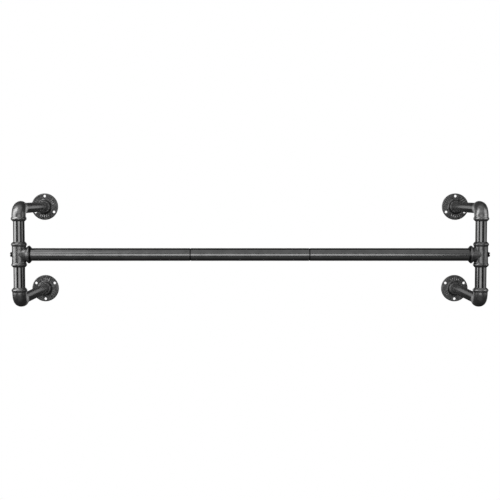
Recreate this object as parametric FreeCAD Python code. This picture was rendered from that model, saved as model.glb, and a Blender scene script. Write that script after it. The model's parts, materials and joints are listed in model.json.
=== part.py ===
"""Wall-mounted pipe rail: a three-section rod turning in two brackets of screwed pipe and cast fittings.

Millimetres. +X runs along the rod, +Y points into the wall, +Z is up. The wall face is Y = 0, and the
origin is the point of the wall that is level with the rod and half way between the brackets.
"""

import FreeCAD, Part
import math
import os

V = FreeCAD.Vector
X, Y, Z = V(1, 0, 0), V(0, 1, 0), V(0, 0, 1)

# Pipes and the rod's sections, whose lengths set the rail's overall size
POST_LENGTH = 76.2
POST_OD = 26.9
POST_WALL = 2.6
ARM_LENGTH = 304.8
ARM_OD = 25.0
ARM_WALL = 2.5
ROD_SIDE_LENGTH = 385.5
ROD_MIDDLE_LENGTH = 280.0
ROD_OD = 30.0
ROD_WALL = 1.5
TUBE_EDGE = 0.8  # chamfer round the outside of each rod section's ends
PIPE_EDGE = 0.5  # chamfer round the outside of each pipe's ends

# Cast elbows, and the run of the tees
BODY_WALL = 3.25  # outside a post pipe
WATERWAY = 20.0  # bore through the middle of a fitting
SOCKET_DEPTH = 14.0
INNER_BEND = 1.3  # radius in the crook of an elbow
BEND_TO_BEAD = 1.7  # straight stretch
BEAD_WIDTH = 10.3
BEAD_RAMP = 3.0  # from the body up to the bead's crown
BEAD_NOSE = 4.5  # from the crown down to the mouth
BEAD_ROUND = 1.2
POST_BEAD = 5.05  # how far a bead's crown stands out from its pipe
ARM_BEAD = 4.9
LIP = 1.0  # flat ring left round a socket's mouth

# Branch of the tee, which holds the rod
BRANCH_WALL = 1.7  # outside the rod
RUN_TO_ROD = 0.3  # from the run's outside to the floor of the rod's socket
ROD_SOCKET_DEPTH = 12.4
ROD_BEAD = 6.0
ROD_BEAD_WIDTH = 11.4
ROD_BEAD_RAMP = 4.0
ROD_BEAD_NOSE = 4.4

# Wall flanges
PLATE = 5.5
PLATE_EDGE = 2.0
FLANGE_HEIGHT = 18.0
HUB_WALL = 3.75  # outside the arm pipe, at the hub's top
HUB_FOOT = 5.5  # the same at the hub's foot
HUB_ROUND = 2.0
HUB_FILLET = 2.5
HUB_TO_HOLE = 10.0  # foot of the hub to the middle of a hole
HUB_TO_RIB = 7.0  # foot of the hub to the middle of a rib
HOLE_TO_RIM = 3.5
HOLE_D = 7.0
HOLE_EDGE = 0.8
ARM_END_TO_WALL = 3.0  # the pipe stops this far inside the hub
RIB_LENGTH = 6.5
RIB_WIDTH = 1.6
RIB_HEIGHT = 0.7
RIB_STEP = 12.0  # degrees between neighbouring ribs
RIBS_OPPOSITE = 5  # in the gap opposite the single hole
RIBS_BESIDE = 3  # in each gap beside it

# End screws
SCREW_D = 6.0
SCREW_POINT = 0.8
SCREW_HEAD = 2.8  # how far the head stands out from the shank
SCREW_HEAD_HEIGHT = 4.6
SCREW_HEAD_ROUND = 2.6
SLOT_WIDTH = 1.6
SLOT_DEPTH = 2.2
SPOT_FACE_EDGE = 0.9  # round the head
SPOT_FACE_DEPTH = 0.7

# Plugs and studs inside the rod
END_PLUG_LENGTH = 12.0
SCREW_SHORT = 0.5  # the screw stops this far inside its plug
JOIN_PLUG_LENGTH = 14.0
STUD_D = 10.0
STUD_SHORT = 1.0  # the stud stops this far inside each of its plugs
PLUG_EDGE = 0.5

# Fits
PAST = 1.0  # a cutting shape runs this far past what it cuts, and a rib this far into its plate
THREAD_GAP = 0.05  # radial, where a real pair is screwed or pressed together
ROD_GAP = 0.10  # radial, rod in the tee's branch
ROD_END_PLAY = 0.3  # each end of the rod to the floor of its socket
SCREW_HOLE_GAP = 0.4  # radial, screw in the tee's wall
SCREW_SEAT_GAP = 0.2  # under the screw's head

# Radii and places that follow from the sizes above
POST_R = POST_OD / 2
ARM_R = ARM_OD / 2
ROD_R = ROD_OD / 2
ROD_BORE = ROD_R - ROD_WALL
SCREW_R = SCREW_D / 2
SCREW_HEAD_R = SCREW_R + SCREW_HEAD
BODY_R = POST_R + BODY_WALL
BRANCH_R = ROD_R + BRANCH_WALL
BEND_RADIUS = BODY_R + INNER_BEND  # centre line of an elbow
REACH = BEND_RADIUS + BEND_TO_BEAD + BEAD_WIDTH  # centre of a fitting to a pipe socket's mouth
SOCKET_FLOOR = REACH - SOCKET_DEPTH
ROD_SOCKET_FLOOR = BODY_R + RUN_TO_ROD
BRANCH_REACH = ROD_SOCKET_FLOOR + ROD_SOCKET_DEPTH
SPOT_FACE = BODY_R - SPOT_FACE_DEPTH
HUB_BASE_R = ARM_R + HUB_FOOT
HOLE_CIRCLE_R = HUB_BASE_R + HUB_TO_HOLE
FLANGE_R = HOLE_CIRCLE_R + HOLE_D / 2 + HOLE_TO_RIM
ARM_LEVEL = POST_LENGTH + 2 * SOCKET_FLOOR  # rod's axis to an arm's axis
PROJECTION = ARM_LENGTH + ARM_END_TO_WALL + SOCKET_FLOOR  # wall face to the rod's axis
ROD_JOINT = ROD_MIDDLE_LENGTH / 2  # middle of the rod to either joint
ROD_END = ROD_JOINT + ROD_SIDE_LENGTH  # middle of the rod to either end
POST_PLACE = ROD_END + ROD_END_PLAY + ROD_SOCKET_FLOOR  # middle of the rod to a post's axis
SCREW_SEAT = POST_PLACE + SPOT_FACE + SCREW_SEAT_GAP  # middle of the rod to under a screw's head
SCREW_LENGTH = SCREW_SEAT - ROD_END + END_PLUG_LENGTH - SCREW_SHORT
STUD_LENGTH = 2 * (JOIN_PLUG_LENGTH - STUD_SHORT)


def outline(corners):
    """A face in the XZ plane. Each corner is (x, z) or (x, z, radius of its rounding)."""
    corners = [tuple(c) + (0.0,) * (3 - len(c)) for c in corners]
    points = [V(x, 0, z) for x, z, _ in corners]
    spans, arcs = [], []
    for i, here in enumerate(points):
        radius = corners[i][2]
        back = (points[i - 1] - here).normalize()
        on = (points[(i + 1) % len(points)] - here).normalize()
        if radius == 0:
            spans.append((here, here))
            arcs.append(None)
            continue
        half = back.getAngle(on) / 2
        cut = radius / math.tan(half)
        middle = here + (back + on).normalize() * (radius / math.sin(half) - radius)
        spans.append((here + back * cut, here + on * cut))
        arcs.append(middle)
    edges = []
    for i, (enter, leave) in enumerate(spans):
        if arcs[i] is not None:
            edges.append(Part.Arc(enter, arcs[i], leave).toShape())
        following = spans[(i + 1) % len(spans)][0]
        if leave.distanceToPoint(following) > 1e-6:
            edges.append(Part.LineSegment(leave, following).toShape())
    return Part.Face(Part.Wire(edges))


def turned(corners):
    """A solid of revolution about Z from an outline of (radius, height) corners."""
    return outline(corners).revolve(V(0, 0, 0), Z, 360)


def aimed(shape, direction, place=V(0, 0, 0)):
    """The shape with its Z axis along direction and its origin at place."""
    turn = FreeCAD.Rotation(Z, direction)
    shape = shape.copy()
    shape.Placement = FreeCAD.Placement(place, turn).multiply(shape.Placement)
    return shape


def cylinder(radius, start, end):
    """A plain cylinder about Z from height start to height end."""
    return Part.makeCylinder(radius, end - start, V(0, 0, start))


def tube(outer, wall, length, edge):
    """A tube standing on the XY plane, with both outer ends chamfered."""
    inner = outer - wall
    return turned(
        [
            (inner, 0),
            (outer - edge, 0),
            (outer, edge),
            (outer, length - edge),
            (outer - edge, length),
            (inner, length),
        ]
    )


def plug(radius, bore, length):
    """A pressed-in plug with a through hole, standing on the XY plane."""
    return tube(radius, radius - bore, length, PLUG_EDGE)


def leg(body, crown, mouth, bead, start, reach):
    """One arm of a fitting's outside, from height start up to its beaded mouth.

    body, crown and mouth are radii. bead is its (width, ramp, nose).
    """
    width, ramp, nose = bead
    return turned(
        [
            (0, start),
            (body, start),
            (body, reach - width, BEAD_ROUND),
            (crown, reach - width + ramp, BEAD_ROUND),
            (crown, reach - nose, BEAD_ROUND),
            (mouth + LIP, reach),
            (0, reach),
        ]
    )


def post_leg(start):
    bead = (BEAD_WIDTH, BEAD_RAMP, BEAD_NOSE)
    return leg(BODY_R, POST_R + POST_BEAD, POST_R, bead, start, REACH)


def arm_leg(start):
    bead = (BEAD_WIDTH, BEAD_RAMP, BEAD_NOSE)
    return leg(BODY_R, ARM_R + ARM_BEAD, ARM_R, bead, start, REACH)


def rod_leg(start):
    bead = (ROD_BEAD_WIDTH, ROD_BEAD_RAMP, ROD_BEAD_NOSE)
    return leg(BRANCH_R, ROD_R + ROD_BEAD, ROD_R + ROD_GAP, bead, start, BRANCH_REACH)


def socket(radius, floor, reach):
    """The space that a pipe's end takes in a fitting."""
    return cylinder(radius, floor, reach + PAST)


def quarter_bend(radius):
    """A quarter torus from the post leg, up +Z, round to the arm leg, along +Y."""
    ring = Part.Face(Part.Wire(Part.makeCircle(radius, V(0, 0, BEND_RADIUS), Z)))
    return ring.revolve(V(0, BEND_RADIUS, BEND_RADIUS), X, 90)


def elbow():
    """A cast elbow about its own centre: post leg along +Z, arm leg along +Y."""
    outside = quarter_bend(BODY_R).multiFuse(
        [post_leg(BEND_RADIUS), aimed(arm_leg(BEND_RADIUS), Y)]
    )
    waterway = cylinder(WATERWAY / 2, BEND_RADIUS, REACH)
    arm_space = waterway.fuse(socket(ARM_R + THREAD_GAP, SOCKET_FLOOR, REACH))
    post_space = waterway.fuse(socket(POST_R + THREAD_GAP, SOCKET_FLOOR, REACH))
    inside = quarter_bend(WATERWAY / 2).multiFuse([post_space, aimed(arm_space, Y)])
    return outside.cut(inside).removeSplitter()


def tee():
    """A cast tee about its own centre: run along Z, branch along +X, screw hole at -X."""
    outside = post_leg(0).multiFuse([aimed(post_leg(0), -Z), aimed(rod_leg(0), X)])
    post_space = socket(POST_R + THREAD_GAP, SOCKET_FLOOR, REACH)
    rod_space = cylinder(WATERWAY / 2, 0, BRANCH_REACH).fuse(
        socket(ROD_R + ROD_GAP, ROD_SOCKET_FLOOR, BRANCH_REACH)
    )
    screw_space = cylinder(SCREW_R + SCREW_HOLE_GAP, 0, BODY_R + PAST).fuse(
        cylinder(SCREW_HEAD_R + SPOT_FACE_EDGE, SPOT_FACE, BODY_R + PAST)
    )
    inside = cylinder(WATERWAY / 2, -REACH, REACH).multiFuse(
        [post_space, aimed(post_space, -Z), aimed(rod_space, X), aimed(screw_space, -X)]
    )
    return outside.cut(inside).removeSplitter()


def rib():
    """One raised casting rib, along X from the flange's centre."""
    middle = HUB_BASE_R + HUB_TO_RIB
    corner = V(middle - RIB_LENGTH / 2, -RIB_WIDTH / 2, PLATE - PAST)
    return Part.makeBox(RIB_LENGTH, RIB_WIDTH, RIB_HEIGHT + PAST, corner)


def rib_angles(single_hole):
    """Where the ribs stand: between the holes, most of them opposite the single hole."""
    angles = []
    for middle, count in (
        (single_hole + 180, RIBS_OPPOSITE),
        (single_hole + 60, RIBS_BESIDE),
        (single_hole - 60, RIBS_BESIDE),
    ):
        angles += [middle + RIB_STEP * (i - (count - 1) / 2) for i in range(count)]
    return angles


def flange(single_hole):
    """A round floor flange with its back on the XY plane. single_hole is the angle of one hole."""
    blank = turned(
        [
            (0, 0),
            (FLANGE_R, 0),
            (FLANGE_R, PLATE, PLATE_EDGE),
            (HUB_BASE_R, PLATE, HUB_FILLET),
            (ARM_R + HUB_WALL, FLANGE_HEIGHT, HUB_ROUND),
            (0, FLANGE_HEIGHT),
        ]
    )
    ribs = []
    for angle in rib_angles(single_hole):
        one = rib()
        one.rotate(V(0, 0, 0), Z, angle)
        ribs.append(one)
    body = blank.multiFuse(ribs)
    cuts = [cylinder(ARM_R + THREAD_GAP, -PAST, FLANGE_HEIGHT + PAST)]
    for i in range(3):
        angle = math.radians(single_hole + 120 * i)
        place = V(math.cos(angle), math.sin(angle), 0) * HOLE_CIRCLE_R
        hole = cylinder(HOLE_D / 2, -PAST, PLATE + PAST)
        edge = Part.makeCone(HOLE_D / 2, HOLE_D / 2 + 2 * HOLE_EDGE, 2 * HOLE_EDGE)
        cuts += [aimed(hole, Z, place), aimed(edge, Z, place + Z * (PLATE - HOLE_EDGE))]
    return body.cut(cuts[0].multiFuse(cuts[1:])).removeSplitter()


def end_screw():
    """A slotted screw: underside of the head at Z = 0, shank down -Z, slot along Y."""
    blank = turned(
        [
            (0, -SCREW_LENGTH),
            (SCREW_R - SCREW_POINT, -SCREW_LENGTH),
            (SCREW_R, SCREW_POINT - SCREW_LENGTH),
            (SCREW_R, 0),
            (SCREW_HEAD_R, 0),
            (SCREW_HEAD_R, SCREW_HEAD_HEIGHT, SCREW_HEAD_ROUND),
            (0, SCREW_HEAD_HEIGHT),
        ]
    )
    corner = V(-SLOT_WIDTH / 2, -SCREW_HEAD_R, SCREW_HEAD_HEIGHT - SLOT_DEPTH)
    slot = Part.makeBox(SLOT_WIDTH, 2 * SCREW_HEAD_R, SLOT_DEPTH + PAST, corner)
    return blank.cut(slot)


def save(name, shape):
    shape.exportStep("parts/" + name + ".step")
    print(name, shape.isValid(), len(shape.Solids), round(shape.Volume / 1000, 2), "cm3")


def bracket(name, side):
    """One bracket. side is -1 for the left one and 1 for the right one."""
    x = side * POST_PLACE
    whole_tee = tee()
    if side > 0:
        whole_tee.rotate(V(0, 0, 0), Z, 180)
    save(name + "_tee", aimed(whole_tee, Z, V(x, -PROJECTION, 0)))
    for level, up in (("upper", 1), ("lower", -1)):
        z = up * ARM_LEVEL
        here = name + "_" + level
        plate = flange(90 * up)
        save(here + "_flange", aimed(plate, -Y, V(x, 0, z)))
        arm = tube(ARM_R, ARM_WALL, ARM_LENGTH, PIPE_EDGE)
        save(here + "_arm_pipe", aimed(arm, -Y, V(x, -ARM_END_TO_WALL, z)))
        corner = elbow()
        if up > 0:
            corner.rotate(V(0, 0, 0), Y, 180)
        corner.translate(V(x, -PROJECTION, z))
        save(here + "_elbow", corner)
        post = tube(POST_R, POST_WALL, POST_LENGTH, PIPE_EDGE)
        save(here + "_post_pipe", aimed(post, Z * up, V(x, -PROJECTION, up * SOCKET_FLOOR)))


def rod_half(name, side):
    """What belongs to one end of the rod: its section, plugs, stud and end screw."""
    out = X * side
    axis = V(0, -PROJECTION, 0)
    section = tube(ROD_R, ROD_WALL, ROD_SIDE_LENGTH, TUBE_EDGE)
    save("rod_" + name + "_tube", aimed(section, out, axis + out * ROD_JOINT))
    end_plug = plug(ROD_BORE - THREAD_GAP, SCREW_R + THREAD_GAP, END_PLUG_LENGTH)
    save("rod_" + name + "_end_plug", aimed(end_plug, -out, axis + out * ROD_END))
    join_plug = plug(ROD_BORE - THREAD_GAP, STUD_D / 2 + THREAD_GAP, JOIN_PLUG_LENGTH)
    save("rod_" + name + "_outer_join_plug", aimed(join_plug, out, axis + out * ROD_JOINT))
    save("rod_" + name + "_inner_join_plug", aimed(join_plug, -out, axis + out * ROD_JOINT))
    stud = tube(STUD_D / 2, STUD_D / 2, STUD_LENGTH, PLUG_EDGE)
    start = ROD_JOINT - STUD_LENGTH / 2
    save("rod_" + name + "_join_stud", aimed(stud, out, axis + out * start))
    screw = end_screw()
    screw.rotate(V(0, 0, 0), Z, 90)
    save(name + "_end_screw", aimed(screw, out, axis + out * SCREW_SEAT))


os.makedirs("parts", exist_ok=True)
for name, side in (("left", -1), ("right", 1)):
    bracket(name, side)
    rod_half(name, side)
middle = tube(ROD_R, ROD_WALL, ROD_MIDDLE_LENGTH, TUBE_EDGE)
save("rod_middle_tube", aimed(middle, X, V(-ROD_JOINT, -PROJECTION, 0)))
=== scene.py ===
# %% [markdown]
# # A curtain rod made of pipe
#
# This rail hangs on a wall. Two brackets are screwed together from pipe and cast iron fittings,
# and a rod in three sections runs between them. A CAD model already says where every piece is
# and how the rod turns. This lesson gives each piece its real surface: rolled beads, casting
# grain, satin coating, a slotted screw with a real thread.

# %% Load the CAD model
import json
import math

import bmesh
import bpy
from mathutils import Matrix, Vector

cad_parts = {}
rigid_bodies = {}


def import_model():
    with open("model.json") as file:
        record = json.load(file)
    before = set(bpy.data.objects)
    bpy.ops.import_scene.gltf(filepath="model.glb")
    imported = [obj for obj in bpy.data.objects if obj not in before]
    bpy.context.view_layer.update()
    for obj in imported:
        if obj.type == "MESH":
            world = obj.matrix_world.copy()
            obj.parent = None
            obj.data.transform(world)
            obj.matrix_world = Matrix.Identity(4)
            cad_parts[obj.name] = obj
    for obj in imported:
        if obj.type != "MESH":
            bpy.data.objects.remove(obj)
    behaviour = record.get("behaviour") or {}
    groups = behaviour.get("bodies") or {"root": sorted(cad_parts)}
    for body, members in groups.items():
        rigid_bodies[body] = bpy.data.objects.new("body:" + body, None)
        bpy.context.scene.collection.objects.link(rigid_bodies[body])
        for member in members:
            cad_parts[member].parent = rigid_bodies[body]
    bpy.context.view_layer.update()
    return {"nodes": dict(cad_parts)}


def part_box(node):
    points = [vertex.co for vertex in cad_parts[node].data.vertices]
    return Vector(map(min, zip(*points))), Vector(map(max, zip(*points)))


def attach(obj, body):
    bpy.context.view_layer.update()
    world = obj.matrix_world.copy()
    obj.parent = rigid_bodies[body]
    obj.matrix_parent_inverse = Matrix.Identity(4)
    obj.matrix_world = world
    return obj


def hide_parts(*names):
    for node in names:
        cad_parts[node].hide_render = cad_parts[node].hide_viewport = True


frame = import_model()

# %% [markdown]
# ## Sizes
#
# The model is in metres, but a fitting is thought of in millimetres, so `mm` turns one into the
# other. What the CAD model can tell is read from it: radii and places come from the boxes of its
# nodes. Only the shapes inside a box, such as the width of a bead, are written here.

# %% Read the main sizes from the frame
def mm(value):
    return value / 1000


def middle(node):
    low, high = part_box(node)
    return (low + high) / 2


def size(node):
    """A node's size in millimetres, to the tenth that its drawing gives."""
    low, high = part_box(node)
    return Vector(round(1000 * v, 1) for v in high - low)


SIDES = {"left": -1, "right": 1}
LEVELS = {"upper": 1, "lower": -1}

ROD_AXIS = middle("rod_middle_tube")
POST_X = middle("right_upper_post_pipe").x
ARM_Z = middle("right_upper_arm_pipe").z

POST_R = size("right_upper_post_pipe").x / 2
ARM_R = size("right_upper_arm_pipe").x / 2
ROD_R = size("rod_middle_tube").y / 2
FLANGE_R = size("right_upper_flange").x / 2
FLANGE_HEIGHT = size("right_upper_flange").y
HEAD_R = size("right_end_screw").y / 2
REACH = size("right_tee").z / 2
POST_BEAD_R = size("right_upper_elbow").x / 2
print("radii in mm: post", POST_R, "arm", ARM_R, "rod", ROD_R, "flange", FLANGE_R)

# %% [markdown]
# ## Camera
#
# The rail is seen from the front, a little from above, through a long lens that keeps its
# verticals straight. The camera looks along +Y, and its height and tilt set how much of each
# flange shows behind its elbow.

# %% Place the camera
# Distances are in metres, the tilt in radians and the lens in millimetres.
CAMERA_TO_ROD = 2.510
CAMERA_ABOVE_ROD = 0.145
CAMERA_TILT = 0.0535
CAMERA_LENS = 77.0

camera_data = bpy.data.cameras.new("front_camera")
camera_data.lens = CAMERA_LENS
camera = bpy.data.objects.new("front_camera", camera_data)
camera.location = (0, ROD_AXIS.y - CAMERA_TO_ROD, CAMERA_ABOVE_ROD)
camera.rotation_euler = (math.pi / 2 - CAMERA_TILT, 0, 0)
bpy.context.scene.collection.objects.link(camera)
bpy.context.scene.camera = camera
print("camera at", [round(v, 3) for v in camera.location])

# %% [markdown]
# ## Turning outlines on a lathe
#
# Nearly every piece of this rail is round, so nearly every piece can be turned: an outline of a
# few corners is spun about an axis. The spin operator does in code what the Spin tool does in
# the editor. Corners are rounded first, while the outline is still a wire, because the bevel
# operator rounds a wire's corner into an arc.
#
# All outlines use the same number of steps, so rings that meet share their points and can be
# merged into one closed skin.

# %% A lathe
STEPS = 96
ARC_STEPS = 4
MERGE = 1e-6


def rounded(bm, vert, back, segments=ARC_STEPS):
    """Rounds a wire's corner. The arc starts this many millimetres back along both edges."""
    bmesh.ops.bevel(
        bm,
        geom=[vert],
        offset=mm(back),
        segments=segments,
        profile=0.5,
        material=-1,
        affect="VERTICES",
    )


def wire(corners, closed=False):
    """A wire in the XZ plane. A corner is (x, z) or (x, z, how far back its rounding starts)."""
    bm = bmesh.new()
    verts = [bm.verts.new((mm(c[0]), 0, mm(c[1]))) for c in corners]
    for one, two in zip(verts, verts[1:]):
        bm.edges.new((one, two))
    if closed:
        bm.edges.new((verts[-1], verts[0]))
    for vert, corner in zip(verts, corners):
        if len(corner) == 3:
            rounded(bm, vert, corner[2])
    return bm


def merge(bm):
    bmesh.ops.remove_doubles(bm, verts=bm.verts, dist=MERGE)
    return bm


def turned(corners, closed=False, steps=STEPS):
    """The outline turned about Z."""
    bm = wire(corners, closed)
    bmesh.ops.spin(
        bm,
        geom=bm.verts[:] + bm.edges[:],
        cent=(0, 0, 0),
        axis=(0, 0, 1),
        angle=2 * math.pi,
        steps=steps,
        use_merge=True,
    )
    return merge(bm)


print("lathe ready,", STEPS, "steps to a turn")

# %% [markdown]
# ## Moving, joining and cutting
#
# Turned shapes are made about their own centre, moved to where they belong and joined. Matrices
# do the moving, and the bisect operator, the editor's Bisect tool, does the cutting: it splits
# every face that a plane crosses, and can clear one side.

# %% Handle the meshes
def moved(bm, *matrices):
    """Transforms the mesh by each matrix, the last one first."""
    for matrix in reversed(matrices):
        bmesh.ops.transform(bm, matrix=matrix, verts=bm.verts)
    return bm


def along(direction):
    """The rotation that takes +Z to the direction."""
    return Vector((0, 0, 1)).rotation_difference(Vector(direction)).to_matrix().to_4x4()


def put(x, y, z):
    return Matrix.Translation((x, y, z))


def half_turn(axis):
    return Matrix.Rotation(math.pi, 4, axis)


def joined(*meshes):
    """One mesh from several, with the points that meet merged."""
    whole = bmesh.new()
    for bm in meshes:
        carrier = bpy.data.meshes.new("carrier")
        bm.to_mesh(carrier)
        bm.free()
        whole.from_mesh(carrier)
        bpy.data.meshes.remove(carrier)
    return merge(whole)


def bisected(bm, normal, place=(0, 0, 0), clear=True):
    """Cuts the mesh by a plane and, if clear is set, drops the side that the normal points to."""
    bmesh.ops.bisect_plane(
        bm,
        geom=bm.verts[:] + bm.edges[:] + bm.faces[:],
        dist=MERGE,
        plane_co=place,
        plane_no=normal,
        clear_outer=clear,
    )
    return bm


print("points closer than", 1000 * MERGE, "mm are merged")

# %% [markdown]
# ## Colours and nodes
#
# Colours are given as the hex values of a colour picker, which are sRGB, and shaders want linear
# light, so one function converts them. Another adds a node, sets what it is given and links what
# it is given. Object coordinates are metres here, so a pattern that repeats every few
# millimetres has a scale of some hundreds: `per_mm` works it out.

# %% Helpers for materials
def colour(code):
    """An sRGB hex colour as linear light."""
    parts = [int(code[i : i + 2], 16) / 255 for i in (1, 3, 5)]
    line = [p / 12.92 if p <= 0.04045 else ((p + 0.055) / 1.055) ** 2.4 for p in parts]
    return (*line, 1.0)


def per_mm(grain):
    """The scale of a pattern whose grains are this many millimetres apart."""
    return 1000 / grain


def add(tree, kind, settings=None, links=None):
    """Adds a shader node, with values for its properties or inputs, and links into its inputs."""
    made = tree.nodes.new("ShaderNode" + kind)
    for name, value in (settings or {}).items():
        if isinstance(name, str) and hasattr(made, name):
            setattr(made, name, value)
        else:
            made.inputs[name].default_value = value
    for name, output in (links or {}).items():
        tree.links.new(output, made.inputs[name])
    return made


def new_material(name):
    """A material with its node tree emptied down to the surface shader."""
    material = bpy.data.materials.new(name)
    material.use_nodes = True
    tree = material.node_tree
    return material, tree, tree.nodes["Principled BSDF"]


print("a pattern of 1 mm has a scale of", per_mm(1.0))

# %% [markdown]
# ## Coated castings
#
# The flanges, elbows and tees are malleable iron, cast in sand and given a thin satin coat the
# colour of gunmetal. Sand leaves a fine grain, about a millimetre, and the coat pools on it a
# little, which shows as a mottle some millimetres wide. Both are heights here, so light finds
# them. The coat is a metallic one: it takes the light like dark metal, not like enamel.
#
# The elbows come out smoothest and the flanges roughest, so each kind of casting has its own
# strength of grain. Their tones differ as well: the elbows are lighter and the tees and flanges
# darker, as painted light and shade for how the boxes fall on each kind. The tops of the flanges'
# raised marks get a lighter version, partly wear where a hand or a cloth rubs the coat thin and
# partly a painted highlight. The front of a tee's mouth gets a near-black version: painted shade.

# %% Cast iron under a gunmetal coat
SAND_GRAIN = 1.1
COAT_POOL = 5.0
POOL_SHARE = 0.45
GRAIN_DEPTH = 0.3
CAST_METALLIC = 0.85
CAST_ROUGHNESS = (0.28, 0.38)


def cast_iron(name, dark, light, strength):
    """strength is how strongly the grain shows, from 0 to 1."""
    material, tree, surface = new_material(name)
    place = add(tree, "TexCoord").outputs["Object"]
    sand = add(tree, "TexNoise", {"Scale": per_mm(SAND_GRAIN), "Detail": 3.0}, {"Vector": place})
    pool = add(tree, "TexNoise", {"Scale": per_mm(COAT_POOL), "Detail": 2.0}, {"Vector": place})
    height = add(
        tree,
        "MixRGB",
        {"blend_type": "MIX", "Fac": POOL_SHARE},
        {"Color1": sand.outputs["Fac"], "Color2": pool.outputs["Fac"]},
    )
    grain = add(
        tree,
        "Bump",
        {"Strength": strength, "Distance": mm(GRAIN_DEPTH)},
        {"Height": height.outputs["Color"]},
    )
    tone = add(tree, "ValToRGB", {}, {"Fac": pool.outputs["Fac"]})
    tone.color_ramp.elements[0].position = 0.3
    tone.color_ramp.elements[0].color = colour(dark)
    tone.color_ramp.elements[1].position = 0.72
    tone.color_ramp.elements[1].color = colour(light)
    smoothest, roughest = CAST_ROUGHNESS
    rough = add(
        tree,
        "MapRange",
        {"From Min": 0.3, "From Max": 0.7, "To Min": smoothest, "To Max": roughest},
        {"Value": sand.outputs["Fac"]},
    )
    surface.inputs["Metallic"].default_value = CAST_METALLIC
    tree.links.new(tone.outputs["Color"], surface.inputs["Base Color"])
    tree.links.new(rough.outputs["Result"], surface.inputs["Roughness"])
    tree.links.new(grain.outputs["Normal"], surface.inputs["Normal"])
    return material


# the elbows' iron is lighter and the tees' and flanges' darker: painted light and shade for how
# the boxes fall on each kind
PAINTED_LIGHT_ELBOW_IRON = cast_iron("coated_elbow_iron", "#6c6c6c", "#828282", 0.25)
TEE_IRON = cast_iron("coated_tee_iron", "#5b5b5b", "#828282", 0.45)
FLANGE_IRON = cast_iron("coated_flange_iron", "#4f4f4f", "#797979", 0.6)
# lighter iron for the tops of the flanges' marks: partly wear, partly a painted highlight
WORN_AND_HIGHLIT_IRON = cast_iron("worn_and_highlit_flange_iron", "#8c8c8c", "#b4b4b4", 0.3)
# near-black iron for the front of the tees' mouths: painted shade
PAINTED_SHADE_MOUTH_IRON = cast_iron("painted_shade_mouth_iron", "#242424", "#363636", 0.45)
for iron in (PAINTED_LIGHT_ELBOW_IRON, TEE_IRON, FLANGE_IRON, WORN_AND_HIGHLIT_IRON, PAINTED_SHADE_MOUTH_IRON):
    print("material", iron.name)

# %% [markdown]
# ## Coated steel pipe
#
# Pipe and tube are drawn, so they are far smoother than the castings, and the same coat lies on
# them as a satin film. Drawing leaves faint lines along the pipe. They are a noise that is
# stretched along the pipe's axis by a Mapping node, and they change the roughness more than the
# height, so a highlight breaks into soft streaks. There is one material for each direction that
# a pipe runs in.

# %% Drawn steel under the same coat
LINE_WIDTH = 1.5
LINE_LENGTH = 60.0
LINE_DEPTH = 0.01
FILM_PATCH = 18.0
DRAWN_METALLIC = 0.9
ROUGHNESS_SPREAD = 0.02


def drawn_steel(name, axis, dark, light, roughness):
    """axis is 0, 1 or 2, for pipes that run along X, Y or Z."""
    material, tree, surface = new_material(name)
    place = add(tree, "TexCoord").outputs["Object"]
    stretch = [1.0, 1.0, 1.0]
    stretch[axis] = LINE_WIDTH / LINE_LENGTH
    lines_place = add(tree, "Mapping", {"Scale": stretch}, {"Vector": place})
    lines = add(
        tree,
        "TexNoise",
        {"Scale": per_mm(LINE_WIDTH), "Detail": 2.0},
        {"Vector": lines_place.outputs["Vector"]},
    )
    film = add(tree, "TexNoise", {"Scale": per_mm(FILM_PATCH), "Detail": 3.0}, {"Vector": place})
    tone = add(tree, "ValToRGB", {}, {"Fac": film.outputs["Fac"]})
    tone.color_ramp.elements[0].position = 0.35
    tone.color_ramp.elements[0].color = colour(dark)
    tone.color_ramp.elements[1].position = 0.68
    tone.color_ramp.elements[1].color = colour(light)
    smoothest, roughest = roughness - ROUGHNESS_SPREAD, roughness + ROUGHNESS_SPREAD
    rough = add(
        tree,
        "MapRange",
        {"From Min": 0.3, "From Max": 0.7, "To Min": smoothest, "To Max": roughest},
        {"Value": lines.outputs["Fac"]},
    )
    grain = add(
        tree,
        "Bump",
        {"Strength": 0.05, "Distance": mm(LINE_DEPTH)},
        {"Height": lines.outputs["Fac"]},
    )
    surface.inputs["Metallic"].default_value = DRAWN_METALLIC
    tree.links.new(tone.outputs["Color"], surface.inputs["Base Color"])
    tree.links.new(rough.outputs["Result"], surface.inputs["Roughness"])
    tree.links.new(grain.outputs["Normal"], surface.inputs["Normal"])
    return material


# the rod's coat is lighter than the pipes', and the arms' a little darker than the posts':
# painted light and shade for how the boxes fall on each
ROD_COAT = drawn_steel("coated_rod_tube", 0, "#6f6f6f", "#7a7a7a", 0.21)
ARM_COAT = drawn_steel("coated_arm_pipe", 1, "#5d5d5d", "#686868", 0.26)
POST_COAT = drawn_steel("coated_post_pipe", 2, "#636363", "#6d6d6d", 0.15)
# near-black coat for the grooves at the rod's joints: painted shade
PAINTED_SHADE_ROD_END = drawn_steel("painted_shade_rod_end", 0, "#262626", "#303030", 0.4)
for coat in (ROD_COAT, ARM_COAT, POST_COAT, PAINTED_SHADE_ROD_END):
    print("material", coat.name)

# %% [markdown]
# ## Blackened screws and bright plugs
#
# The end screws are steel, blackened in a hot bath that leaves a thin dark oxide, a little
# uneven. The plugs and studs inside the rod are bright turned bar, with fine rings that the
# lathe tool left. The rings are a wave that runs round the rod's axis.

# %% Black oxide and turned steel
BATH_PATCH = 2.0
RING_SPACING = 2.0


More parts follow.
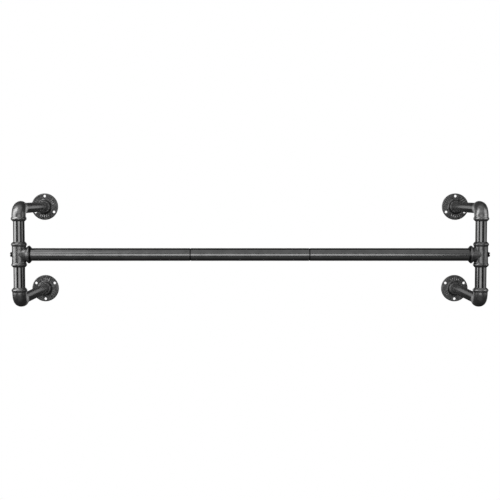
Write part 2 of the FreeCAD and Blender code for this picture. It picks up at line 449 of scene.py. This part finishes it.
def black_oxide():
    material, tree, surface = new_material("black_oxide_steel")
    place = add(tree, "TexCoord").outputs["Object"]
    bath = add(tree, "TexNoise", {"Scale": per_mm(BATH_PATCH), "Detail": 4.0}, {"Vector": place})
    tone = add(tree, "ValToRGB", {}, {"Fac": bath.outputs["Fac"]})
    tone.color_ramp.elements[0].position = 0.35
    tone.color_ramp.elements[0].color = colour("#0c0c0d")
    tone.color_ramp.elements[1].position = 0.7
    tone.color_ramp.elements[1].color = colour("#19191b")
    grain = add(
        tree, "Bump", {"Strength": 0.3, "Distance": mm(0.05)}, {"Height": bath.outputs["Fac"]}
    )
    surface.inputs["Metallic"].default_value = 0.7
    surface.inputs["Roughness"].default_value = 0.42
    tree.links.new(tone.outputs["Color"], surface.inputs["Base Color"])
    tree.links.new(grain.outputs["Normal"], surface.inputs["Normal"])
    return material


def turned_steel():
    material, tree, surface = new_material("turned_bright_steel")
    place = add(tree, "TexCoord").outputs["Object"]
    centred = add(
        tree, "Mapping", {"Location": (0, -ROD_AXIS.y, -ROD_AXIS.z)}, {"Vector": place}
    )
    turning = {
        "wave_type": "RINGS",
        "rings_direction": "X",
        "Scale": per_mm(RING_SPACING),
        "Distortion": 0.6,
    }
    rings = add(tree, "TexWave", turning, {"Vector": centred.outputs["Vector"]})
    tone = add(tree, "ValToRGB", {}, {"Fac": rings.outputs["Fac"]})
    tone.color_ramp.elements[0].color = colour("#a9a9ab")
    tone.color_ramp.elements[1].color = colour("#c2c2c4")
    grain = add(
        tree, "Bump", {"Strength": 0.3, "Distance": mm(0.02)}, {"Height": rings.outputs["Fac"]}
    )
    surface.inputs["Metallic"].default_value = 1.0
    surface.inputs["Roughness"].default_value = 0.3
    tree.links.new(tone.outputs["Color"], surface.inputs["Base Color"])
    tree.links.new(grain.outputs["Normal"], surface.inputs["Normal"])
    return material


BLACK_OXIDE = black_oxide()
TURNED_STEEL = turned_steel()
print("materials", BLACK_OXIDE.name, TURNED_STEEL.name)

# %% [markdown]
# ## Finishing a piece
#
# A finished mesh becomes an object at the origin, with its place in its points, exactly as the
# CAD nodes are. Its normals are worked out once its rings are merged. Faces shade smoothly up to
# an angle, and a Weighted Normal modifier keeps the large flat faces flat beside their narrow
# roundings. The piece then rides on its CAD body and stands for its CAD node. A piece may have a
# second material, for the faces whose material index is 1.

# %% From mesh to piece
SMOOTH_UP_TO = math.radians(38)


def piece(bm, node, material, body, second=None):
    """The mesh as a finished piece that rides on the body and stands for the CAD node."""
    bmesh.ops.recalc_face_normals(bm, faces=bm.faces)
    name = node + "_piece"
    data = bpy.data.meshes.new(name)
    bm.to_mesh(data)
    bm.free()
    data.materials.append(material)
    if second:
        data.materials.append(second)
    data.shade_smooth()
    data.set_sharp_from_angle(angle=SMOOTH_UP_TO)
    made = bpy.data.objects.new(name, data)
    bpy.context.scene.collection.objects.link(made)
    weighted = made.modifiers.new("flat_faces_stay_flat", "WEIGHTED_NORMAL")
    weighted.keep_sharp = True
    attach(made, body)
    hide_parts(node)
    print(name, len(data.polygons), "faces")


print("edges flatter than", round(math.degrees(SMOOTH_UP_TO)), "degrees shade smoothly")

# %% [markdown]
# ## Pipes and rod sections
#
# A pipe is a closed outline, a long rectangle with a chamfer at each outer corner, turned about
# its axis. The rod's sections meet end to end, and their two chamfers make the groove that shows
# at each joint. Its faces get a near-black coat, as painted shade for the shadow in the groove.

# %% Turn the pipes and the rod
POST_WALL = 2.6
ARM_WALL = 2.5
ROD_WALL = 1.5
PIPE_EDGE = 0.5
ROD_EDGE = 1.2


def pipe(radius, wall, length, edge):
    """A tube centred on the origin, along Z, with a chamfer round each end."""
    inner, end = radius - wall, length / 2
    return turned(
        [
            (inner, -end),
            (radius - edge, -end),
            (radius, edge - end),
            (radius, end - edge),
            (radius - edge, end),
            (inner, end),
        ],
        closed=True,
    )


for side in SIDES:
    for level in LEVELS:
        node = f"{side}_{level}_post_pipe"
        post = pipe(POST_R, POST_WALL, size(node).z, PIPE_EDGE)
        piece(moved(post, put(*middle(node))), node, POST_COAT, "brackets")
        node = f"{side}_{level}_arm_pipe"
        arm = pipe(ARM_R, ARM_WALL, size(node).y, PIPE_EDGE)
        piece(moved(arm, put(*middle(node)), along((0, 1, 0))), node, ARM_COAT, "brackets")

for node in ("rod_left_tube", "rod_middle_tube", "rod_right_tube"):
    length = size(node).x
    section = pipe(ROD_R, ROD_WALL, length, ROD_EDGE)
    # the chamfer and end faces get the near-black coat: painted shade
    for face in section.faces:
        if abs(face.calc_center_median().z) > mm(length / 2 - ROD_EDGE):
            face.material_index = 1
    moved(section, put(*middle(node)), along((1, 0, 0)))
    piece(section, node, ROD_COAT, "rod", PAINTED_SHADE_ROD_END)

# %% [markdown]
# ## The legs of a fitting
#
# Elbows and tees are made of legs. Each leg is a stretch of body that ends in a rolled bead,
# which keeps the thin edge of a cast socket from splitting. Its outline starts on the outside of
# the body, climbs over the bead, turns in at the mouth and runs down the socket to its floor.
# The bead's three corners are rounded so far back that hardly any straight is left between them.

# %% One leg
BODY_R = POST_R + 3.25
WATERWAY_R = 10.0
THREAD_GAP = 0.05
SOCKET_DEPTH = 14.0
BEAD_WIDTH = 10.3
BEAD_RAMP = 3.0
BEAD_NOSE = 4.5
BEAD_ROUND = 1.35
RAMP_ROUND = 1.1
LIP = 1.0
LIP_ROUND = 0.35
ARM_BEAD_R = ARM_R + 4.9
BRANCH_REACH = 29.4
ROD_SOCKET_DEPTH = 12.4
ROD_GAP = 0.10
ROD_BEAD_R = ROD_R + 6.0
ROD_BEAD_WIDTH = 11.4
ROD_BEAD_RAMP = 4.0
ROD_BEAD_NOSE = 4.4
BEND_R = BODY_R + 1.3
INNER_BEND_R = 13.8


def leg(start, reach, crown, bead, socket, floor, inner):
    """A leg up +Z, from its outside at height start to the ring (inner, floor) inside.

    bead is its width, ramp and nose. crown, socket and inner are radii.
    """
    width, ramp, nose = bead
    return turned(
        [
            (BODY_R, start),
            (BODY_R, reach - width, RAMP_ROUND),
            (crown, reach - width + ramp, BEAD_ROUND),
            (crown, reach - nose, BEAD_ROUND),
            (socket + LIP, reach, LIP_ROUND),
            (socket, reach),
            (socket, floor),
            (inner, floor),
        ]
    )


PIPE_BEAD = (BEAD_WIDTH, BEAD_RAMP, BEAD_NOSE)
ROD_BEAD = (ROD_BEAD_WIDTH, ROD_BEAD_RAMP, ROD_BEAD_NOSE)
print("width, ramp and nose of a bead in mm: pipe", PIPE_BEAD, "rod", ROD_BEAD)

# %% [markdown]
# ## Elbows
#
# An elbow is two legs and a quarter bend. The bend is a circle spun by a quarter turn about an
# axis beside it, once for the outside and once for the inside. Its end rings have the same
# points as the legs' rings, so merging closes the skin. One elbow is modelled, and the upper
# ones are turned over.

# %% Model an elbow
BEND_STEPS = 24


def bend(radius):
    """A quarter bend from the ring at height BEND_R on +Z to the ring at BEND_R on +Y."""
    bm = bmesh.new()
    bmesh.ops.create_circle(bm, segments=STEPS, radius=mm(radius), matrix=put(0, 0, mm(BEND_R)))
    bmesh.ops.spin(
        bm,
        geom=bm.verts[:] + bm.edges[:],
        cent=(0, mm(BEND_R), mm(BEND_R)),
        axis=(1, 0, 0),
        angle=math.pi / 2,
        steps=BEND_STEPS,
    )
    return bm


def elbow():
    """An elbow about its own centre: post leg up +Z, arm leg along +Y."""
    post = leg(BEND_R, REACH, POST_BEAD_R, PIPE_BEAD, POST_R + THREAD_GAP, BEND_R, INNER_BEND_R)
    arm = leg(BEND_R, REACH, ARM_BEAD_R, PIPE_BEAD, ARM_R + THREAD_GAP, BEND_R, INNER_BEND_R)
    return joined(post, moved(arm, along((0, 1, 0))), bend(BODY_R), bend(INNER_BEND_R))


for side, x in SIDES.items():
    for level, up in LEVELS.items():
        here = put(x * POST_X, ROD_AXIS.y, up * ARM_Z)
        over = half_turn("Y") if up > 0 else Matrix()
        piece(
            moved(elbow(), here, over),
            f"{side}_{level}_elbow",
            PAINTED_LIGHT_ELBOW_IRON,
            "brackets",
        )

# %% [markdown]
# ## Tees
#
# Where two round pipes of one size cross, they meet along two flat ellipses at 45 degrees. So a
# crossing can be made with no boolean: each tube is bisected by the two 45-degree planes, the
# part that the other one covers is cleared, and what is left shares its points exactly. The
# outside and the waterway are both made so. The crease on the outside is then bevelled, because
# a mould never leaves a sharp inside corner.

# %% Make a crossing of two tubes
CREASE_ROUND = 1.0
EDGE_STEPS = 3


def crossing(radius, run_reach, branch_reach, back):
    """A run along Z, crossed by a branch along +X, as an open skin. back is its rounding."""
    run = bisected(turned([(radius, 0), (radius, run_reach)]), (1, 0, -1))
    branch = moved(turned([(radius, 0), (radius, branch_reach)]), along((1, 0, 0)))
    bisected(bisected(branch, (0, 0, -1)), (-1, 0, 1))
    upper_half = joined(run, branch)
    lower_half = moved(upper_half.copy(), half_turn("X"))
    skin = joined(upper_half, lower_half)
    if back:
        creases = [
            e
            for e in skin.edges
            if all(abs(abs(v.co.z) - v.co.x) < MERGE for v in e.verts)
            and abs(e.verts[0].co.z - e.verts[1].co.z) > MERGE
        ]
        bmesh.ops.bevel(
            skin,
            geom=creases,
            offset=mm(back),
            segments=EDGE_STEPS,
            profile=0.5,
            material=-1,
            affect="EDGES",
        )
    return skin


print("crossing ready, its creases rounded from", CREASE_ROUND, "mm back")

# %% [markdown]
# ## A straight hole through a curved wall
#
# The rod's own screw goes in through the tee's back, so that side has a hole and a shallow round
# seat for the screw's head. Such a cut is a job for a Boolean modifier, which is applied at once.
# The two meshes get objects only for as long as that takes.

# %% Cut one mesh from another
def less(bm, cutter):
    """The mesh with a closed cutter taken away from it."""
    holders = []
    for one in (bm, cutter):
        bmesh.ops.recalc_face_normals(one, faces=one.faces)
        data = bpy.data.meshes.new("holder")
        one.to_mesh(data)
        one.free()
        holder = bpy.data.objects.new("holder", data)
        bpy.context.scene.collection.objects.link(holder)
        holders.append(holder)
    target, tool = holders
    cut = target.modifiers.new("cut", "BOOLEAN")
    cut.operation = "DIFFERENCE"
    cut.solver = "EXACT"
    cut.object = tool
    bpy.context.view_layer.update()
    result = bpy.data.meshes.new_from_object(
        target.evaluated_get(bpy.context.evaluated_depsgraph_get())
    )
    left = bmesh.new()
    left.from_mesh(result)
    bpy.data.meshes.remove(result)
    for holder in holders:
        data = holder.data
        bpy.data.objects.remove(holder)
        bpy.data.meshes.remove(data)
    return merge(left)


print("cutter ready")

# %% [markdown]
# ## The whole tee
#
# Two legs up and down, one out to the rod, and the two crossings between them make the tee, and
# the cut makes the screw's hole. The front of the branch's mouth gets a near-black version of the
# iron, the piece's second material, as painted shade for the shadow that falls there.

# %% Model a tee
SCREW_R = 3.0
SCREW_HOLE_GAP = 0.4
SEAT_EDGE = 0.9
SEAT_DEPTH = 0.7
PAST = 1.0
SHADE_PAINTED_MOUTH_DEPTH = 3.2


def tee():
    """A tee about its own centre: run along Z, branch along +X, screw hole at -X."""
    floor = REACH - SOCKET_DEPTH
    rod_floor = BRANCH_REACH - ROD_SOCKET_DEPTH
    run_start = REACH - BEAD_WIDTH - RAMP_ROUND
    branch_start = BRANCH_REACH - ROD_BEAD_WIDTH - RAMP_ROUND
    up = leg(run_start, REACH, POST_BEAD_R, PIPE_BEAD, POST_R + THREAD_GAP, floor, WATERWAY_R)
    down = moved(up.copy(), half_turn("X"))
    out = leg(
        branch_start, BRANCH_REACH, ROD_BEAD_R, ROD_BEAD, ROD_R + ROD_GAP, rod_floor, WATERWAY_R
    )
    outside = crossing(BODY_R, run_start, branch_start, CREASE_ROUND)
    waterway = crossing(WATERWAY_R, floor, rod_floor, 0)
    whole = joined(up, down, moved(out, along((1, 0, 0))), outside, waterway)
    hole = SCREW_R + SCREW_HOLE_GAP
    seat = BODY_R - SEAT_DEPTH
    cutter = turned(
        [
            (0, 0),
            (hole, 0),
            (hole, seat),
            (HEAD_R + SEAT_EDGE, seat),
            (HEAD_R + SEAT_EDGE, BODY_R + PAST),
            (0, BODY_R + PAST),
        ]
    )
    whole = less(whole, moved(cutter, along((-1, 0, 0))))
    # the front of the branch's mouth gets the near-black iron: painted shade
    for face in whole.faces:
        if face.calc_center_median().x > mm(BRANCH_REACH - SHADE_PAINTED_MOUTH_DEPTH):
            face.material_index = 1
    return whole


for side, x in SIDES.items():
    here = put(x * POST_X, ROD_AXIS.y, ROD_AXIS.z)
    turn = half_turn("Z") if x > 0 else Matrix()
    piece(
        moved(tee(), here, turn),
        f"{side}_tee",
        TEE_IRON,
        "brackets",
        PAINTED_SHADE_MOUTH_IRON,
    )

# %% [markdown]
# ## Wall flanges
#
# A flange is a round plate with a hub and three screw holes. Short raised casting marks stand
# between the holes. A mark is a rounded outline, extruded and drawn in a little, as a mould
# needs, and its top is lighter than the plate: partly wear, partly a painted highlight.

# %% Model the raised marks
PLATE = 5.5
HUB_FOOT = 5.5
HUB_TO_RIB = 7.0
HOLES = 3
RIB_LENGTH = 7.5
RIB_WIDTH = 2.2
RIB_HEIGHT = 1.0
RIB_ROUND = 0.9
RIB_DRAFT = (0.96, 0.86, 1)
RIB_TOP_ROUND = 0.8
WORN_AND_HIGHLIT_ABOVE = 0.5
RIB_STEP = 12.0
RIBS_OPPOSITE = 5
RIBS_BESIDE = 3
HUB_R = ARM_R + HUB_FOOT


def rib_angles(single_hole):
    """Where the marks stand: between the holes, most of them opposite the single hole."""
    beside = 180 / HOLES
    angles = []
    for centre, count in (
        (single_hole + 180, RIBS_OPPOSITE),
        (single_hole + beside, RIBS_BESIDE),
        (single_hole - beside, RIBS_BESIDE),
    ):
        angles += [centre + RIB_STEP * (i - (count - 1) / 2) for i in range(count)]
    return angles


def rib(angle):
    """One raised mark: its walls and top, open underneath at the plate's face."""
    half_length, half_width = RIB_LENGTH / 2, RIB_WIDTH / 2
    bm = wire(
        [
            (sx * half_length, sy * half_width, RIB_ROUND)
            for sx, sy in ((-1, -1), (1, -1), (1, 1), (-1, 1))
        ],
        closed=True,
    )
    moved(bm, Matrix.Rotation(-math.pi / 2, 4, "X"))
    walls = bmesh.ops.extrude_edge_only(bm, edges=bm.edges[:])["geom"]
    top = [v for v in walls if isinstance(v, bmesh.types.BMVert)]
    bmesh.ops.scale(bm, verts=top, vec=RIB_DRAFT)
    bmesh.ops.translate(bm, verts=top, vec=(0, 0, mm(RIB_HEIGHT)))
    rim = [e for e in walls if isinstance(e, bmesh.types.BMEdge) and e.is_boundary]
    bmesh.ops.contextual_create(bm, geom=rim)
    bmesh.ops.bevel(
        bm,
        geom=rim,
        offset=mm(RIB_TOP_ROUND),
        segments=EDGE_STEPS,
        profile=0.5,
        material=-1,
        affect="EDGES",
    )
    # the tops of the marks get the lighter iron: partly wear, partly a painted highlight
    for face in bm.faces:
        if face.calc_center_median().z > mm(WORN_AND_HIGHLIT_ABOVE):
            face.material_index = 1
    turn = Matrix.Rotation(math.radians(angle), 4, "Z")
    return moved(bm, turn, put(mm(HUB_R + HUB_TO_RIB), 0, mm(PLATE)))


print("marks at", rib_angles(0), "degrees from the single hole")

# %% [markdown]
# ## The whole flange
#
# The rim, the hub and the screw holes are turned, each as an open skin whose edges lie in the
# plane of the plate's face or of its back. The triangle fill operator then fills each plane
# between those edges, holes, marks and all.

# %% Model a flange
PLATE_EDGE = 2.0
HUB_WALL = 3.75
HUB_ROUND = 2.0
HUB_FILLET = 2.5
HUB_TO_HOLE = 10.0
HOLE_R = 3.5
HOLE_EDGE = 0.8
HOLE_STEPS = 32
FACE_EDGE = 0.4


def fill_plane(bm, height):
    """Fills the open edges that lie at this height, leaving the holes between them open."""
    edges = [
        e
        for e in bm.edges
        if e.is_boundary and all(abs(v.co.z - mm(height)) < MERGE for v in e.verts)
    ]
    bmesh.ops.triangle_fill(bm, use_beauty=True, edges=edges, normal=(0, 0, 1))


def flange(single_hole):
    """A flange with its back on the XY plane. single_hole is the angle of one screw hole."""
    bore = ARM_R + THREAD_GAP
    rim = turned(
        [(FLANGE_R, 0), (FLANGE_R, PLATE, PLATE_EDGE), (FLANGE_R - PLATE_EDGE - FACE_EDGE, PLATE)]
    )
    hub = turned(
        [
            (HUB_R + HUB_FILLET + FACE_EDGE, PLATE),
            (HUB_R, PLATE, HUB_FILLET),
            (ARM_R + HUB_WALL, FLANGE_HEIGHT, HUB_ROUND),
            (bore, FLANGE_HEIGHT),
            (bore, 0),
        ]
    )
    holes = []
    for i in range(HOLES):
        hole = turned(
            [(HOLE_R + HOLE_EDGE, PLATE), (HOLE_R, PLATE - HOLE_EDGE), (HOLE_R, 0)],
            steps=HOLE_STEPS,
        )
        turn = Matrix.Rotation(math.radians(single_hole + 360 / HOLES * i), 4, "Z")
        holes.append(moved(hole, turn, put(mm(HUB_R + HUB_TO_HOLE), 0, 0)))
    ribs = [rib(angle) for angle in rib_angles(single_hole)]
    whole = joined(rim, hub, *holes, *ribs)
    fill_plane(whole, PLATE)
    fill_plane(whole, 0)
    return whole


for side, x in SIDES.items():
    for level, up in LEVELS.items():
        here = put(x * POST_X, 0, up * ARM_Z)
        piece(
            moved(flange(90 * up), here, Matrix.Rotation(math.pi / 2, 4, "X")),
            f"{side}_{level}_flange",
            FLANGE_IRON,
            "brackets",
            WORN_AND_HIGHLIT_IRON,
        )

# %% [markdown]
# ## End screws
#
# Each end screw has a domed head with a slot and a long threaded shank. The plain neck is turned
# with the head, so that their rings share every point. The slot is cut with bisecting planes:
# the head is split along the slot's walls and floor, the metal between is deleted, and three new
# faces close it.

# %% Model the head and its slot
HEAD_HEIGHT = 4.6
HEAD_ROUND = 2.6
SLOT_WIDTH = 1.6
SLOT_DEPTH = 2.2
PLAIN_NECK = 1.0


def head():
    """The head and the plain neck under it, open below: underside at Z = 0, slot along Y."""
    bm = turned(
        [
            (SCREW_R, -PLAIN_NECK),
            (SCREW_R, 0),
            (HEAD_R, 0),
            (HEAD_R, HEAD_HEIGHT, HEAD_ROUND),
            (HEAD_R - HEAD_ROUND - FACE_EDGE, HEAD_HEIGHT),
            (0, HEAD_HEIGHT),
        ]
    )
    wall, floor = mm(SLOT_WIDTH / 2), mm(HEAD_HEIGHT - SLOT_DEPTH)
    bisected(bm, (1, 0, 0), (wall, 0, 0), clear=False)
    bisected(bm, (1, 0, 0), (-wall, 0, 0), clear=False)
    bisected(bm, (0, 0, 1), (0, 0, floor), clear=False)
    inside = []
    for face in bm.faces:
        centre = face.calc_center_median()
        if abs(centre.x) < wall and centre.z > floor:
            inside.append(face)
    bmesh.ops.delete(bm, geom=inside, context="FACES")
    close_slot(bm, wall, floor)
    return bm


def close_slot(bm, wall, floor):
    """Gives the cut slot its floor and its two walls."""
    ends = {}
    for vert in bm.verts:
        on_floor = abs(vert.co.z - floor) < MERGE
        if on_floor and abs(abs(vert.co.x) - wall) < MERGE:
            ends[(vert.co.x > 0, vert.co.y > 0)] = vert
    for right in (False, True):
        bm.edges.new((ends[(right, False)], ends[(right, True)]))
    for right in (False, True):
        rim = [
            e
            for e in bm.edges
            if all(
                abs(v.co.x - (wall if right else -wall)) < MERGE and v.co.z > floor - MERGE
                for v in e.verts
            )
        ]
        bmesh.ops.contextual_create(bm, geom=rim)
    strip = [
        e
        for e in bm.edges
        if all(abs(v.co.z - floor) < MERGE and abs(v.co.x) < wall + MERGE for v in e.verts)
    ]
    bmesh.ops.contextual_create(bm, geom=strip)


print("slot", SLOT_WIDTH, "mm wide and", SLOT_DEPTH, "mm deep")

# %% [markdown]
# ## The thread
#
# The thread is a true helix: the spin operator can also climb as it turns, so the outline of one
# tooth, spun many times, leaves a ribbon whose turns meet. It is cut flat at both ends, and each
# end is filled up to the plain neck or the tip.

# %% Model the thread and the whole screw
THREAD_PITCH = 1.0
THREAD_DEPTH = 0.6
THREAD_STEPS = 24
FLANK = 0.4 * THREAD_PITCH
CREST_CLEARANCE = 0.05
TIP = 1.2
TIP_TAPER = 0.2
TIP_ROUND = 0.4


def thread(top, bottom):
    """A helical thread between two heights, open at both ends, where it is cut flat."""
    turns = math.ceil((top - bottom) / THREAD_PITCH) + 2
    root = SCREW_R - THREAD_DEPTH
    crest = SCREW_R - CREST_CLEARANCE
    start = top + THREAD_PITCH
    bm = wire(
        [
            (root, start),
            (crest, start - FLANK),
            (crest, start - THREAD_PITCH + FLANK),
            (root, start - THREAD_PITCH),
        ]
    )
    bmesh.ops.spin(
        bm,
        geom=bm.verts[:] + bm.edges[:],
        cent=(0, 0, 0),
        axis=(0, 0, 1),
        dvec=(0, 0, -mm(THREAD_PITCH) / THREAD_STEPS),
        angle=2 * math.pi * turns,
        steps=THREAD_STEPS * turns,
    )
    merge(bm)
    bisected(bm, (0, 0, 1), (0, 0, mm(top)))
    return bisected(bm, (0, 0, -1), (0, 0, mm(bottom)))


def end_screw(length):
    """A slotted screw: underside of the head at Z = 0, shank down -Z, slot along Y."""
    tip_r = SCREW_R - THREAD_DEPTH - TIP_TAPER
    thread_end = TIP - length
    tip = turned([(tip_r, thread_end), (tip_r, -length, TIP_ROUND), (0, -length)])
    screw = joined(head(), thread(-PLAIN_NECK, thread_end), tip)
    fill_plane(screw, -PLAIN_NECK)
    fill_plane(screw, thread_end)
    return screw


for side, x in SIDES.items():
    node = f"{side}_end_screw"
    low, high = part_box(node)
    seat = high.x - mm(HEAD_HEIGHT) if x > 0 else low.x + mm(HEAD_HEIGHT)
    here = put(seat, ROD_AXIS.y, ROD_AXIS.z)
    body = f"{side}_end_screw"
    length = size(node).x - HEAD_HEIGHT
    piece(moved(end_screw(length), here, along((x, 0, 0))), node, BLACK_OXIDE, body)

# %% [markdown]
# ## Plugs and studs
#
# These sit inside the rod. Their CAD shapes are already right, so they stay as they are and only
# get their material.

# %% Give the hidden pieces their finish
hidden = [n for n in frame["nodes"] if n.endswith("_plug") or n.endswith("_stud")]
for node in hidden:
    data = frame["nodes"][node].data
    data.materials.clear()
    data.materials.append(TURNED_STEEL)
print(len(hidden), "plugs and studs in turned steel")

# %% [markdown]
# ## The floor
#
# The rail hangs before white. The floor is a pale sheet far below it, lit from within like a
# light table, and it throws nothing back at the metal, so the rod keeps its dark underside.

# %% Lay the floor
WHITE = 1.0
FLOOR_REACH = 20.0
FLOOR_HEIGHT = -1.2


def emitting(name, strength):
    """A material that gives out white light."""
    material = bpy.data.materials.new(name)
    material.use_nodes = True
    tree = material.node_tree
    tree.nodes.clear()
    glow = add(tree, "Emission", {"Color": colour("#ffffff"), "Strength": strength})
    add(tree, "OutputMaterial", {}, {"Surface": glow.outputs["Emission"]})
    return material


floor_mesh = bmesh.new()
bmesh.ops.create_grid(
    floor_mesh, x_segments=1, y_segments=1, size=FLOOR_REACH, matrix=put(0, 0, FLOOR_HEIGHT)
)
floor_data = bpy.data.meshes.new("pale_floor")
floor_mesh.to_mesh(floor_data)
floor_mesh.free()
floor_data.materials.append(emitting("light_table", WHITE))
pale_floor = bpy.data.objects.new("pale_floor", floor_data)
bpy.context.scene.collection.objects.link(pale_floor)
pale_floor.visible_diffuse = False
pale_floor.visible_glossy = False
pale_floor.visible_shadow = False
print("floor at", FLOOR_HEIGHT, "m")

# %% [markdown]
# ## Soft boxes
#
# Long soft boxes make the stripes on the posts: one at each side and one in front. Round metal
# shows its boxes and little else, so some boxes are kept to some pieces, as a photographer keeps
# them with flags. Light linking does that.
#
# The rod has a set of its own: a low one in front draws the long highlight, high ones light its
# upper half, most of all towards the left, and the ones that it points at are dim. The elbows
# curve away at the top and need two more at shoulder height. Only the pipes see the low boxes
# and the one high behind, which draw their form from above, and only the other pieces see the
# wide one at the rear, which shows the flanges' backs.

# %% Place the soft boxes
def soft_box(name, place, target, width, height, brightness):
    """A rectangular light that faces the target. brightness is what a mirror would show."""
    light = bpy.data.lights.new(name, "AREA")
    light.shape = "RECTANGLE"
    light.size = width
    light.size_y = height
    light.energy = brightness * math.pi * width * height
    made = bpy.data.objects.new(name, light)
    made.location = place
    made.rotation_euler = (Vector(target) - Vector(place)).to_track_quat("-Z", "Y").to_euler()
    made.visible_camera = False
    bpy.context.scene.collection.objects.link(made)
    return made


def lights_only(boxes, chosen):
    """The boxes light only the pieces whose names are chosen."""
    receivers = bpy.data.collections.new(boxes[0].name + "_receivers")
    for made in bpy.context.scene.objects:
        if made.type == "MESH" and chosen(made.name):
            receivers.objects.link(made)
    for box in boxes:
        box.light_linking.receiver_collection = receivers


aim = ROD_AXIS
left_end = (-0.5, ROD_AXIS.y, 0)
EVERY_PIECE = [
    ("low_front_box", (0, -1.5, -1.2), aim, 2.4, 1.6, 0.12),
    ("overhead_box", (0, -0.8, 1.9), aim, 3.0, 1.2, 0.54),
    ("left_rim", (-1.3, 1.3, 0.3), aim, 0.6, 0.9, 1.2),
    ("arm_glow", (0, 1.3, 0.16), aim, 1.0, 0.3, 0.55),
]
ALL_BUT_THE_ROD = [
    ("front_box", (0, -2.3, -0.09), aim, 1.5, 0.88, 2.15),
    ("high_front_box", (0, -1.9, 1.2), aim, 2.4, 1.4, 0.73),
    ("upper_left_box", (-1.25, -1.2, 1.4), aim, 1.0, 1.0, 3.69),
    ("left_box", (-1.7, -0.72, 0.3), aim, 1.2, 1.1, 3.46),
    ("right_box", (1.7, -0.68, 0.3), aim, 1.2, 1.1, 1.08),
]
THE_ROD = [
    ("rod_front_box", (-0.1, -2.3, -0.09), aim, 1.8, 0.88, 2.15),
    ("rod_high_box", (-0.1, -1.9, 1.2), aim, 2.4, 1.4, 0.5),
    ("rod_high_left_box", (-1.3, -1.75, 0.95), left_end, 1.3, 1.8, 1.05),
    ("rod_over_left_box", (-1.4, -0.45, 1.9), left_end, 1.3, 1.2, 0.85),
    ("rod_left_box", (-1.7, -0.7, 0.3), aim, 1.2, 1.1, 0.6),
    ("rod_right_box", (1.7, -0.7, 0.3), aim, 1.2, 1.1, 0.6),
]
THE_PIPES = [
    ("low_left_box", (-1.4, -0.5, -0.8), aim, 0.8, 0.9, 2.2),
    ("low_right_box", (1.4, -0.5, -0.8), aim, 0.8, 0.9, 1.6),
    ("back_box", (0, 1.0, 1.8), aim, 2.4, 1.8, 1.2),
]
ALL_BUT_THE_PIPES = [("rear_box", (0, 2.0, 0), aim, 4.0, 1.6, 0.6)]
THE_ELBOWS = [("elbow_left_box", (-1.5, -0.95, 1.0), aim, 1.1, 0.9, 2.0)]
THE_RIGHT_ELBOWS = [("elbow_right_box", (1.5, -0.9, 0.5), aim, 0.9, 1.1, 1.6)]

for rows, chosen in (
    (EVERY_PIECE, None),
    (ALL_BUT_THE_ROD, lambda name: "tube" not in name),
    (THE_ROD, lambda name: "tube" in name),
    (THE_PIPES, lambda name: "pipe" in name),
    (ALL_BUT_THE_PIPES, lambda name: "pipe" not in name),
    (THE_ELBOWS, lambda name: "elbow" in name),
    (THE_RIGHT_ELBOWS, lambda name: name.startswith("right") and "elbow" in name),
):
    boxes = [soft_box(*row) for row in rows]
    if chosen:
        lights_only(boxes, chosen)
    print(len(boxes), "soft boxes from", boxes[0].name)

# %% [markdown]
# ## The background
#
# The camera sees pure white, but the metal must not: a white room would wash out every stripe.
# A Light Path node tells the two apart, so the room is dim for everything but the camera.

# %% Set the background
ROOM = 0.04

world = bpy.data.worlds.new("studio")
world.use_nodes = True
bpy.context.scene.world = world
sky = world.node_tree
sky.nodes.clear()
dim = add(sky, "Background", {"Color": colour("#ffffff"), "Strength": ROOM})
white = add(sky, "Background", {"Color": colour("#ffffff"), "Strength": WHITE})
seen = add(sky, "LightPath")
both = add(
    sky,
    "MixShader",
    {},
    {"Fac": seen.outputs["Is Camera Ray"], 1: dim.outputs[0], 2: white.outputs[0]},
)
add(sky, "OutputWorld", {}, {"Surface": both.outputs["Shader"]})
bpy.context.scene.view_settings.view_transform = "Standard"
print("studio ready")
